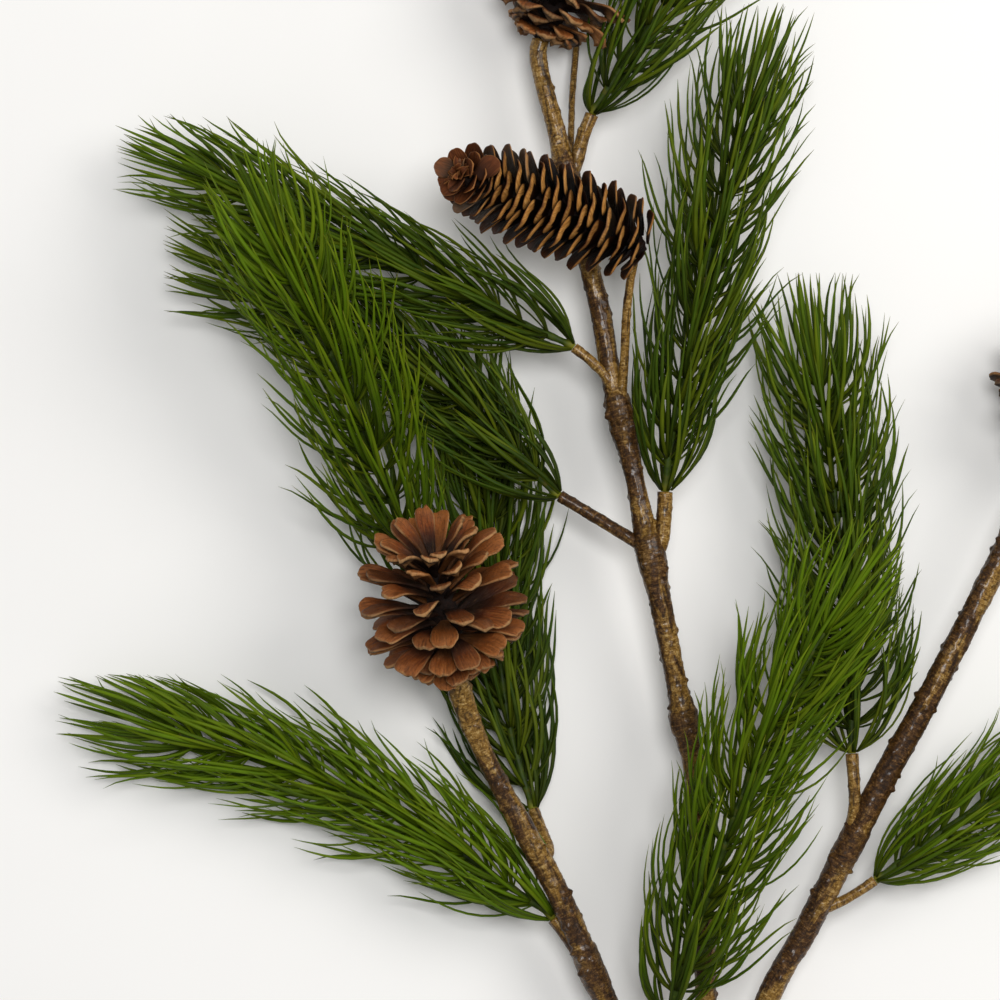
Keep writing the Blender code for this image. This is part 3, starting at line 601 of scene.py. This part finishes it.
def bark_rings(name, route, shade, seed):
    """A stem's surface: its rings, and the values that its bark is painted from."""
    chance = np.random.default_rng(seed)
    line = even_line(route, BARK_STEP)
    centre, radius = line[:, :3], line[:, 3]
    along = run_of(line)
    sides = max(FEWEST_SIDES, round(math.tau * float(np.mean(radius)) / BARK_STEP))
    turn = np.arange(sides) * math.tau / sides
    across, over = ring_frames(centre[None], np.array((1.0, 0.35, 0.0)))
    outward = turned(across[0][:, None], over[0][:, None], turn[None])
    # No two stems have the same grain.
    grain = stacked(radius[:, None] * np.cos(turn), radius[:, None] * np.sin(turn),
                    along[:, None] + 300.0 * seed)
    share = np.minimum(radius / FULL_RELIEF_RADIUS, MOST_RELIEF)[:, None]
    rise = sum(height * fractal(grain * scale, seed + more) for height, scale, more in BARK_LAYERS)
    # Cracks run part of the way round, and a few run along the stem.
    bent = grain * (0.12, 0.12, 0.2) + noise(grain * 0.4, seed + 8)[..., None] * 0.3
    rings = 1.0 - ease(0.0, 0.07, np.abs(noise(bent, seed + 9)))
    splits = 1.0 - ease(0.0, 0.05, np.abs(noise(grain * (0.3, 0.3, 0.03), seed + 12)))
    crack = np.maximum(rings * ease(-0.1, 0.4, noise(grain * 0.1, seed + 10)), 0.7 * splits)
    rise = rise - CRACK_DEPTH * crack
    nub = np.zeros(rise.shape)
    for _ in range(int(along[-1] / NUB_SPACING)):
        place = chance.uniform(NUB_MARGIN, along[-1] - NUB_MARGIN)
        angle = chance.uniform(0.0, math.tau)
        size, tall = chance.uniform(*NUB_SIZE), chance.uniform(*NUB_HEIGHT)
        bend = np.angle(np.exp(1j * (turn - angle)))
        gap = ((along[:, None] - place) / (1.2 * size)) ** 2 + (bend * radius[:, None] / size) ** 2
        bump = np.exp(-gap ** 1.5)
        nub = np.maximum(nub, bump)
        rise = rise + tall * bump * share
    sleeve = np.zeros(rise.shape)
    for start, end in SLEEVES.get(name, ()):
        height = centre[:, 1, None] + 1.6 * noise(grain * (0.25, 0.25, 0.0) + start, seed + 14)
        ledge = 1.0 - ease(end - SLEEVE_LEDGE, end + SLEEVE_LEDGE, height)
        sleeve = np.maximum(sleeve, ease(start - SLEEVE_SLOPE, start, height) * ledge)
    rise = rise * share + SLEEVE_RISE * sleeve
    surface = centre[:, None] + outward * (radius[:, None] + rise - SKIN_INSET)[..., None]
    surface[..., 2] = np.maximum(surface[..., 2], 0.0)
    relief = np.clip(0.5 + rise * 0.8 - 0.9 * crack, 0.0, 1.0)
    # The bark's own darker patches along each stem, plus painted shade on its left flank.
    tone_and_painted_shade = shade(along / along[-1])[:, None] + PAINTED_FLANK_SHADE * ease(-0.1, 0.9, -outward[..., 0])
    return surface, dict(grain=grain, relief=relief, nub=nub * (1.0 - 0.5 * sleeve), sleeve=sleeve,
                         shade=tone_and_painted_shade)


def round_end(surface, values):
    """A twig's surface and values with its far end rounded over."""
    last = surface[-1]
    middle = last.mean(axis=0)
    ahead = unit(middle - surface[-3].mean(axis=0))
    rounded = [middle + (last - middle) * share + ahead * rise for share, rise in END_ROUNDING]
    ends = {key: np.repeat(value[-1:], len(rounded), axis=0) for key, value in values.items()}
    values = {key: np.concatenate([value, ends[key]]) for key, value in values.items()}
    return np.concatenate([surface, rounded]), values


def make_bark():
    """All stems and twigs, and the sawn end."""
    piece = Piece()
    for seed, (name, route) in enumerate(STEMS.items(), start=1):
        surface, values = bark_rings(name, route, STEM_SHADE[name], seed)
        if name == "centre":
            lip, grain = surface[0], values["grain"][0]
        piece.add(surface[None], 0, **{key: value[None] for key, value in values.items()})
    for seed, (name, route) in enumerate(TWIGS.items(), start=11):
        shade = TWIG_SHADE.get(name, PLAIN_TWIG_SHADE)
        surface, values = round_end(*bark_rings(name, route, stops((0.0, shade)), seed))
        piece.add(surface[None], 0, **{key: value[None] for key, value in values.items()})
    # The sawn end is a dished face a hair inside the bark's lip.
    middle = lip.mean(axis=0)
    shares = np.linspace(0.995, 0.03, END_RINGS)[:, None, None]
    face, flat = middle + (lip - middle) * shares, grain * shares
    face[..., 1] -= END_DISH - 0.18 * fractal(flat * 0.6, 41)
    piece.add(face[None, :, ::-1], 1, grain=flat[None, :, ::-1])
    piece.build("bark_and_twigs", "stems", [bark_material(), wood_material()])


# ---- needles
# A needle is a tapered six-sided bar with this many rings.
NEEDLE_STEPS = 10
NEEDLE_SECTION = np.array(((1.0, -0.15), (0.62, 0.72), (-0.62, 0.72), (-1.0, -0.15), (-0.45, -0.8),
                           (0.45, -0.8)))
NEEDLE_WIDTH = stops((0, 0.6), (0.12, 0.85), (0.45, 1), (0.75, 0.78), (0.93, 0.36), (1, 0.05))
NEEDLE_HALF_WIDTH = 1.12
NEEDLE_HALF_DEPTH = 0.72
NEEDLE_LENGTH = (58.0, 71.0)
# The share of the needles that are short, and how short.
SHORT_NEEDLES, SHORT = 0.08, 0.75
# The share whose tips flick in or out, how far, and how far any of them wanders sideways.
FLICKED, FLICK = 0.6, (-0.2, 0.8)
WANDER = 0.16
# Whorls stand this far apart, the last one is fuller, and a whorl's needles cling in bundles.
WHORL_GAP = 13.5
LAST_WHORL = 1.1
BUNDLE = 3
# The first whorl's ring as a share of the twig's radius, and the others' distance from the line.
KNOT_SHARE = 0.8
LEADER_SKIN = 0.8
# Needles are lighter towards the spray's tip, from this share of the leader on, as painted light
# and shade: lit at the open tip, shaded near the stems.
LIGHTER_TIP = 0.5
LIGHT_MIDDLE = 0.4
# Needles keep clear of the stems. Their roots stay still, and between these shares they come free.
STEM_CLEARANCE = 1.7
PUSHES = 6
ROOT_FADE = (0.08, 0.3)
# A needle's line bends level below the first height, and stays above the second.
SOFT_FLOOR = 4.0
NEEDLE_FLOOR = 1.0
SKIN_FLOOR = 0.15
# The leader's radii at its foot and tip, its swellings at its foot and each whorl, and its ends.
LEADER_SIDES = 10
LEADER_RADII = (1.9, 1.3)
FOOT_SWELL, FOOT_LENGTH = 1.1, 3.5
WHORL_SWELL = 0.25
LEADER_ENDS = (2.2, 0.5)


def posts():
    """The stems and twigs as runs of short round bars: starts, ends and radii."""
    starts, ends, radii = [], [], []
    for route in (*STEMS.values(), *TWIGS.values()):
        line = even_line(route, 7.0)
        starts.append(line[:-1, :3])
        ends.append(line[1:, :3])
        radii.append(0.5 * (line[:-1, 3] + line[1:, 3]))
    return np.vstack(starts), np.vstack(ends), np.concatenate(radii)


def push_out(points, bars):
    """The moves that take points clear of the bars."""
    starts, ends, radii = bars
    flat = points.reshape(-1, 3)
    reach = ends - starts
    t = np.einsum("pbk,bk->pb", flat[:, None] - starts[None], reach) / np.sum(reach * reach, axis=1)
    away = flat[:, None] - (starts + reach * np.clip(t, 0.0, 1.0)[..., None])
    gap = np.linalg.norm(away, axis=-1)
    depth = radii + STEM_CLEARANCE - gap
    worst = np.argmax(depth, axis=1)
    pick = np.arange(len(flat))
    move = unit(away[pick, worst]) * np.maximum(depth[pick, worst], 0.0)[:, None]
    return move.reshape(points.shape)


def needle_lines(root, ahead, outward, side, start, end, length, cling, flick, wander):
    """Needles' curves: out of the leader at one angle, swept forward to a smaller one."""
    s = np.linspace(0.0, 1.0, NEEDLE_STEPS)
    angle = start[:, None] + (end - start)[:, None] * ease(-0.25, 1.0, s) + flick[:, None] * s ** 4
    sideways = cling[:, None] * (np.cos(s * math.pi * 1.5) - 0.2) + wander[:, None] * s
    heading = turned(ahead[:, None], outward[:, None], angle) + side[:, None] * sideways[..., None]
    heading = unit(heading)
    steps = 0.5 * (heading[:, 1:] + heading[:, :-1]) * (length[:, None, None] / (NEEDLE_STEPS - 1))
    return chain(root, steps)


def make_spray(name, points, seed, bars, materials):
    """A leader and its needles, in whorls whose needles cling together in bundles."""
    chance = np.random.default_rng(100 + seed)
    angle, flatness, fullness, light = SPRAY_LOOKS[name]
    line = leaving(*seat_on(TWIGS[name]), points, 3.0)
    length = run_of(line)[-1]
    whorls = round(length / WHORL_GAP)
    rows = []
    for w in range(whorls + 1):
        count = round(fullness * (LAST_WHORL if w == whorls else 1.0))
        bundles = round(count / BUNDLE)
        for b in range(bundles):
            turn = (b + chance.uniform(-0.22, 0.22)) / bundles * math.tau + w * GOLDEN_ANGLE
            place = np.clip((w + chance.uniform(-0.12, 0.2)) / whorls, 0.004, 0.992)
            rows += [(w, place, turn, k - 0.5 * (BUNDLE - 1)) for k in range(BUNDLE)]
    whorl, share, turn, member = np.array(rows).T
    total = len(rows)
    root, ahead = on_line(line, share)
    level, upright = around(ahead)
    turn = turn + member * chance.uniform(0.05, 0.22, total)
    outward = level * np.cos(turn)[:, None] + upright * (np.sin(turn) * flatness)[:, None]
    side = -level * np.sin(turn)[:, None] + upright * (np.cos(turn) * flatness)[:, None]
    # Each needle's angle off the leader at its root and tip, others in the first and last whorls.
    spread = np.radians(angle) * chance.uniform(0.7, 1.22, total)
    start, end = chance.uniform(1.8, 2.5, total), chance.uniform(-0.35, 0.45, total)
    tip_start, tip_end = chance.uniform(0.3, 1.9, total), chance.uniform(-0.3, 0.5, total)
    special = [whorl == 0, whorl == whorls]
    start = spread * np.select(special, [2.0, tip_start], start)
    end = spread * np.select(special, [-0.1, tip_end], end)
    size = chance.uniform(*NEEDLE_LENGTH, total)
    size = size * np.where(chance.random(total) < SHORT_NEEDLES, SHORT, 1.0)
    cling = member * chance.uniform(-0.07, 0.0, total)
    wander = chance.uniform(-WANDER, WANDER, total)
    flick = np.where(chance.random(total) < FLICKED, chance.uniform(*FLICK, total), 0.0)
    # The first whorl stands in a ring at the rim of the twig's end.
    out = np.where(special[0], KNOT_SHARE * TWIGS[name][-1][3], LEADER_SKIN)
    root = root + unit(outward) * out[:, None]
    lines = needle_lines(root, ahead, outward, side, start, end, size, cling, flick, wander)

    # Needles bend away from the stems, and stay above the table.
    s = np.linspace(0.0, 1.0, NEEDLE_STEPS)
    for _ in range(PUSHES):
        move = push_out(lines, bars) * ease(*ROOT_FADE, s)[:, None]
        for _ in range(2):
            move[:, 1:-1] = 0.5 * move[:, 1:-1] + 0.25 * (move[:, :-2] + move[:, 2:])
        lines = lines + move
    z, soft = lines[..., 2], SOFT_FLOOR - NEEDLE_FLOOR
    level_off = NEEDLE_FLOOR + soft * np.exp(np.minimum(z - SOFT_FLOOR, 0.0) / soft)
    lines[..., 2] = np.where(z < SOFT_FLOOR, level_off, z)

    # No needle leaves the room that the spray has.
    low, high = (np.array(corner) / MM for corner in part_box(name))
    root = lines[:, :1]
    reach = lines - root
    with np.errstate(divide="ignore", invalid="ignore"):
        room = (np.where(reach > 0.0, high, low) - root) / reach
    room = np.where(np.abs(reach) < 1e-6, 1.0, room).min(axis=(1, 2))
    lines = root + reach * np.clip(room, 0.3, 1.0)[:, None, None]

    thick = chance.uniform(0.85, 1.08, total)[:, None]
    width = NEEDLE_WIDTH(s) * NEEDLE_HALF_WIDTH * thick
    depth = NEEDLE_WIDTH(s) * NEEDLE_HALF_DEPTH * thick
    twist = unit(side + outward * chance.uniform(-0.8, 0.8, total)[:, None])[:, None]
    rings = sweep(lines, twist, width, depth, NEEDLE_SECTION)
    rings[..., 2] = np.maximum(rings[..., 2], SKIN_FLOOR)
    grain = stacked(NEEDLE_SECTION[:, 0] * NEEDLE_HALF_WIDTH, (np.arange(total) * 7.0)[:, None, None],
                    s[:, None] * size[:, None, None])
    piece = Piece()
    piece.add(rings, 0, along=s[:, None], tone=chance.random(total)[:, None, None],
              light=light + LIGHTER_TIP * (share[:, None, None] - LIGHT_MIDDLE), grain=grain)

    place = run_of(line) / length
    swell = FOOT_SWELL * np.exp(-(place * length / FOOT_LENGTH) ** 2)
    radius = np.interp(place, (0.0, 1.0), LEADER_RADII) + swell
    radius = radius + WHORL_SWELL * np.cos(place * whorls * math.tau)
    radius[0], radius[-1] = LEADER_ENDS
    outline = circle(LEADER_SIDES)
    rings = sweep(line[None], UP, radius[None], radius[None], outline)
    piece.add(rings, 1, along=place[:, None], grain=line[None, :, None] + outline[:, :1] * 2.0)
    piece.build(name + "_needles", name, materials)


# ---- cones
SCALE_STEPS = 18
# A scale starts this far from the core's line, and there it leans forward by this angle.
SCALE_ROOT = 4.0
ROOT_LEAN = 8.0
LEAST_HALF_WIDTH = 0.35
CORE_SIDES = 24
CORE_ROUGH = 0.12
# The last scales stand at this share of the core.
TOP_SCALES = 0.97
# Scales that point up are shorter by up to this share, so cones are flatter than broad.
FLATTER = 0.1
ROUND_KIND = dict(
    scales=96, neck=5.0,
    core=stops((0, 3.4), (0.12, 5), (0.25, 7.5), (0.7, 7), (1, 3.5)),
    lean=stops((0, 110), (0.08, 102), (0.2, 93), (0.4, 80), (0.65, 65), (0.9, 46),
               (1, 34)),
    length=stops((0, 0.36), (0.1, 0.56), (0.22, 0.86), (0.35, 1.04), (0.7, 1.03), (1, 0.78)),
    taper=stops((0, 0.82), (0.2, 0.95), (0.5, 1), (1, 0.6)),
    width=stops((0, 0.22), (0.25, 0.42), (0.5, 0.72), (0.7, 0.94), (0.8, 1)),
    half_width=7.0, shoulder=0.8, blunt=2.6,
    thick=stops((0, 1.1), (0.5, 0.85), (0.8, 1.05), (0.93, 1.3), (1, 0.9)),
    cup=0.14, curl=14.0, flick=14.0, pad=1.6, wave=1.5, lean_spread=10.0, twist=20.0,
    ragged=1.3, apex=0.0, start=-0.02, crowd=1.25,
)
LONG_KIND = dict(
    scales=106, neck=10.0,
    core=stops((0, 2.6), (0.12, 3), (0.22, 6), (0.35, 9), (0.7, 8), (0.92, 5),
               (1, 2)),
    lean=stops((0, 76), (0.1, 68), (0.25, 60), (0.75, 55), (0.9, 52), (1, 50)),
    length=stops((0, 0.8), (0.08, 0.98), (0.2, 1.12), (0.35, 1.17), (0.65, 1.12), (0.85, 0.9),
                 (1, 0.6)),
    taper=stops((0, 0.8), (0.15, 0.97), (0.6, 0.96), (0.8, 0.72), (1, 0.46)),
    width=stops((0, 0.45), (0.3, 0.75), (0.5, 0.95), (0.62, 1)),
    half_width=10.8, shoulder=0.55, blunt=2.1,
    thick=stops((0, 0.8), (0.6, 0.5), (1, 0.4)),
    cup=0.24, curl=4.0, flick=2.0, pad=0.3, wave=0.25, lean_spread=1.6, twist=4.0,
    ragged=0.35, apex=0.8, start=-0.06, crowd=1.0,
)
LOOSE_BITS = 16
LOOSE_SCALE = dict(root=(-111.5, 567.0, 110.0), heading=(9.0, 8.0, 0.0), lean=80.0, length=14.0,
                   half_width=5.8)
# A scale's section has this many points from one edge to the other on its upper face.
FACE_POINTS = 9
# The pad under a scale's end and the beak on it: place along the scale, length and width.
PAD, BEAK = (0.84, 0.09, 0.62), (0.86, 0.03, 0.22)
# This far in from its edge a scale is all face and no rim.
RIM_WIDTH = 10.0


def cone_line(spec, foot, t):
    """Points a share of the way up a cone's core, and the axis there."""
    axis, tip_axis = unit(spec["axis"]), unit(spec.get("tip_axis", spec["axis"]))
    t = np.asarray(t)[..., None]
    here = axis + (tip_axis - axis) * t
    return foot + (axis + here) * (0.5 * t * spec["core"]), unit(here)


def knob(s, u, place, length, width):
    """A round rise on a scale's face."""
    return np.exp(-((s[:, None] - place) / length) ** 2) * np.exp(-(u / width) ** 2)


def scale_rings(root, axis, outward, lean, length, taper, kind, chance):
    """Scales as closed leaves: rings of points from root to rounded tip, and their values."""
    total = len(root)
    s = 1.0 - (1.0 - np.linspace(0.0, 1.0, SCALE_STEPS)) ** 1.6
    flick = kind["flick"] * ease(0.7, 1.0, s) * chance.uniform(0.3, 1.3, total)[:, None]
    angle = np.radians(lean[:, None] + kind["curl"] * (1.6 * s - 0.8) + flick)
    heading = turned(axis[:, None], outward[:, None], angle)
    steps = 0.5 * (heading[:, 1:] + heading[:, :-1]) * np.diff(s)[:, None] * length[:, None, None]
    lines = chain(root, steps)
    side = unit(np.cross(axis, outward))
    twist = np.radians(chance.uniform(-kind["twist"], kind["twist"], total))
    side = unit(side + np.cross(outward, side) * np.tan(twist)[:, None])
    across, over = ring_frames(lines, side[:, None])

    shoulder, blunt = kind["shoulder"], kind["blunt"]
    round_off = np.clip((s - shoulder) / (1.0 - shoulder), 0.0, 1.0)
    outline = kind["width"](s) * np.maximum(1.0 - round_off ** blunt, 0.0) ** (1.0 / blunt)
    half = np.maximum(outline * kind["half_width"], LEAST_HALF_WIDTH)[None] * taper[:, None]
    half = (half * chance.uniform(0.92, 1.06, total)[:, None])[..., None]
    # Over the upper face from one edge to the other, and back under the lower face.
    u = np.cos(np.linspace(0.0, math.pi, FACE_POINTS))
    u = np.concatenate([u, u[-2:0:-1]])
    upper = (np.arange(len(u)) < FACE_POINTS) * 1.0
    sign = 2.0 * upper - 1.0
    sign[0] = sign[FACE_POINTS - 1] = 0.0
    body = np.sqrt(np.maximum(1.0 - np.abs(u) ** 2.6, 0.0))
    thick = kind["thick"](s)[:, None] * (0.3 + 0.7 * body) * sign
    cup = kind["cup"] * half * u ** 2 * ease(0.15, 0.6, s)[:, None]
    grain = stacked(half * u, (np.arange(total) * 23.0)[:, None, None],
                    s[:, None] * length[:, None, None])
    wave = kind["wave"] * noise(grain * (0.16, 1.0, 0.11), 5) * ease(0.3, 0.9, s)[:, None]
    ribs = 0.12 * noise(grain * (0.9, 1.0, 0.1), 9) * body
    pad = (knob(s, u, *PAD) + 0.7 * knob(s, u, *BEAK)) * (1.0 - upper)
    height = thick + cup + wave + ribs - kind["pad"] * pad
    ragged = kind["ragged"] * noise(grain * (0.55, 1.0, 0.25), 21) * ease(0.6, 1.0, s)[:, None]
    ahead = unit(np.gradient(lines, axis=1))
    lines = lines[:, :, None] + ahead[:, :, None] * ragged[..., None]
    rings = lines + across[:, :, None] * (half * u)[..., None] + over[:, :, None] * height[..., None]
    tip = (length[:, None] * (1.0 - s))[..., None]
    rim = np.minimum(half * (1.0 - np.abs(u)), tip)
    rim, pad = np.clip(rim / RIM_WIDTH, 0.0, 1.0), np.clip(pad, 0.0, 1.0)
    return rings, dict(along=s[:, None], face=upper, grain=grain, rim=rim, pad=pad,
                       tone=chance.random(total)[:, None, None])


def make_cone(name, spec, kind, materials):
    """An open cone: its core, and scales in golden-angle steps round it."""
    chance = np.random.default_rng(200 + spec["seed"])
    seat, ahead = seat_on(spec["on"])
    foot = seat + ahead * kind["neck"] + np.array(spec.get("shift", (0.0, 0.0, 0.0)))
    core = [cone_line(spec, foot, t)[0] for t in (0.0, 0.33, 0.66, 1.0)]
    line = leaving(seat, ahead, core, 2.0)
    radius = kind["core"](np.linspace(0.0, 1.0, len(line)))
    radius[-1] *= 0.4
    side = np.array((0.0, 0.3, 1.0))
    rings = sweep(line[None], side, radius[None], radius[None], circle(CORE_SIDES))
    rough = (rings - line[None, :, None]) * CORE_ROUGH * noise(rings * 0.35, 3)[..., None]
    piece = Piece()
    piece.add(rings + rough, 1, grain=rings)

    total = kind["scales"]
    t = ((np.arange(total) + 0.5) / total) ** kind["crowd"]
    base, axis = cone_line(spec, foot, kind["start"] + (TOP_SCALES - kind["start"]) * t)
    # The last scales open round an apex that turns up.
    axis = unit(axis + UP * (kind["apex"] * ease(0.72, 1.0, t))[:, None])
    turn = np.arange(total) * GOLDEN_ANGLE + chance.uniform(-0.06, 0.06, total)
    outward = turned(*around(axis), turn)
    lean = kind["lean"](t) + chance.uniform(-kind["lean_spread"], kind["lean_spread"], total)
    size = spec["reach"] * kind["length"](t) * chance.uniform(0.94, 1.02, total)
    size *= 1.0 - FLATTER * np.clip(outward[:, 2], 0.0, 1.0) ** 2
    first = turned(axis, outward, np.radians(lean - ROOT_LEAN))
    rings, values = scale_rings(base + first * SCALE_ROOT, axis, outward, lean, size - SCALE_ROOT,
                                kind["taper"](t), kind, chance)
    rings[..., 2] = np.maximum(rings[..., 2], 0.0)
    piece.add(rings, 0, apex=ease(0.8, 0.95, t)[:, None, None], **values)
    if name == "cone_long":
        add_loose_bits(piece, spec, foot, chance)
    piece.build(name + "_scales", name, materials)


def add_loose_bits(piece, spec, foot, chance):
    """Crumpled small scales in the long cone's tip, and a broken one lying on top."""
    total = LOOSE_BITS
    tip, axis = cone_line(spec, foot, np.full(total, TOP_SCALES))
    axis = unit(axis + UP * LONG_KIND["apex"] + chance.uniform(-0.3, 0.3, (total, 3)))
    outward = turned(*around(axis), np.arange(total) * GOLDEN_ANGLE)
    kind = dict(LONG_KIND, half_width=2.6, cup=0.7, curl=40.0, flick=60.0, ragged=1.5, twist=40.0)
    lean, length, taper = (chance.uniform(low, high, total)
                           for low, high in ((10.0, 65.0), (6.0, 10.0), (0.6, 1.0)))
    rings, values = scale_rings(tip + outward * 1.5, axis, outward, lean, length, taper, kind, chance)
    piece.add(rings, 0, apex=1.0, **values)
    root, heading = np.array([LOOSE_SCALE["root"]]), unit([LOOSE_SCALE["heading"]])
    kind = dict(LONG_KIND, half_width=LOOSE_SCALE["half_width"], cup=0.1, flick=6.0)
    rings, values = scale_rings(root, UP[None], heading, np.array([LOOSE_SCALE["lean"]]),
                                np.array([LOOSE_SCALE["length"]]), np.ones(1), kind, chance)
    piece.add(rings, 0, apex=1.0, **values)


def make_cones():
    """The four cones, each at the end of its stem or twig."""
    core = core_material()
    round_looks, long_looks = [round_scale_material(), core], [long_scale_material(), core]
    for name, spec in CONES.items():
        if name == "cone_long":
            make_cone(name, spec, LONG_KIND, long_looks)
        else:
            make_cone(name, spec, ROUND_KIND, round_looks)


# ---- floor, light and camera
# The camera looks down on this spot from this far, and sees this width.
VIEW_CENTRE = (-0.1, 0.41, 0.045)
VIEW_DISTANCE = 2.5
VIEW_WIDTH = 0.5
FLOOR_SIZE = 6.0
FLOOR_DROP = 0.0004
WORLD_LIGHT = 0.3
# Each lamp's place, size, power and colour.
LAMPS = {
    "key": ((1.4, 1.1, 1.8), 1.4, 26.0, (1.0, 0.98, 0.95)),
    "top": ((0.1, 0.75, 2.9), 0.9, 44.0, (1.0, 1.0, 1.0)),
}


def make_floor():
    """The table, a hair below the branch."""
    half = 0.5 * FLOOR_SIZE
    mesh = bpy.data.meshes.new("floor")
    corners = [(-half, -half), (half, -half), (half, half), (-half, half)]
    mesh.from_pydata([(x, y + VIEW_CENTRE[1], -FLOOR_DROP) for x, y in corners], [], [(0, 1, 2, 3)])
    mesh.materials.append(floor_material())
    floor = new_object("floor", mesh)


def make_lamp(name, place, size, power, colour):
    """A round lamp that points at the middle of the view."""
    lamp = bpy.data.lights.new(name, "AREA")
    lamp.shape = "DISK"
    lamp.size, lamp.energy, lamp.color = size, power, colour
    holder = new_object(name, lamp)
    holder.location = place
    aim = np.array(VIEW_CENTRE) - np.array(place)
    holder.rotation_mode = "QUATERNION"
    holder.rotation_quaternion = Vector(aim).to_track_quat("-Z", "Y")


def set_stage():
    """The lamps, the even light all round, and the camera, which looks down."""
    scene = bpy.context.scene
    scene.view_settings.view_transform = "Standard"
    world = bpy.data.worlds.new("studio")
    world.use_nodes = True
    background = world.node_tree.nodes["Background"]
    background.inputs["Color"].default_value = (1.0, 1.0, 1.0, 1.0)
    background.inputs["Strength"].default_value = WORLD_LIGHT
    scene.world = world
    for name, values in LAMPS.items():
        make_lamp(name, *values)
    data = bpy.data.cameras.new("camera")
    data.angle = 2.0 * math.atan(0.5 * VIEW_WIDTH / VIEW_DISTANCE)
    camera = new_object("camera", data)
    x, y, z = VIEW_CENTRE
    camera.location = (x, y, z + VIEW_DISTANCE)
    scene.camera = camera


make_bark()
needle_looks = [needle_material(), leader_material()]
stem_bars = posts()
for seed, (name, points) in enumerate(SPRAYS.items()):
    make_spray(name, points, seed, stem_bars, needle_looks)
make_cones()
make_floor()
set_stage()
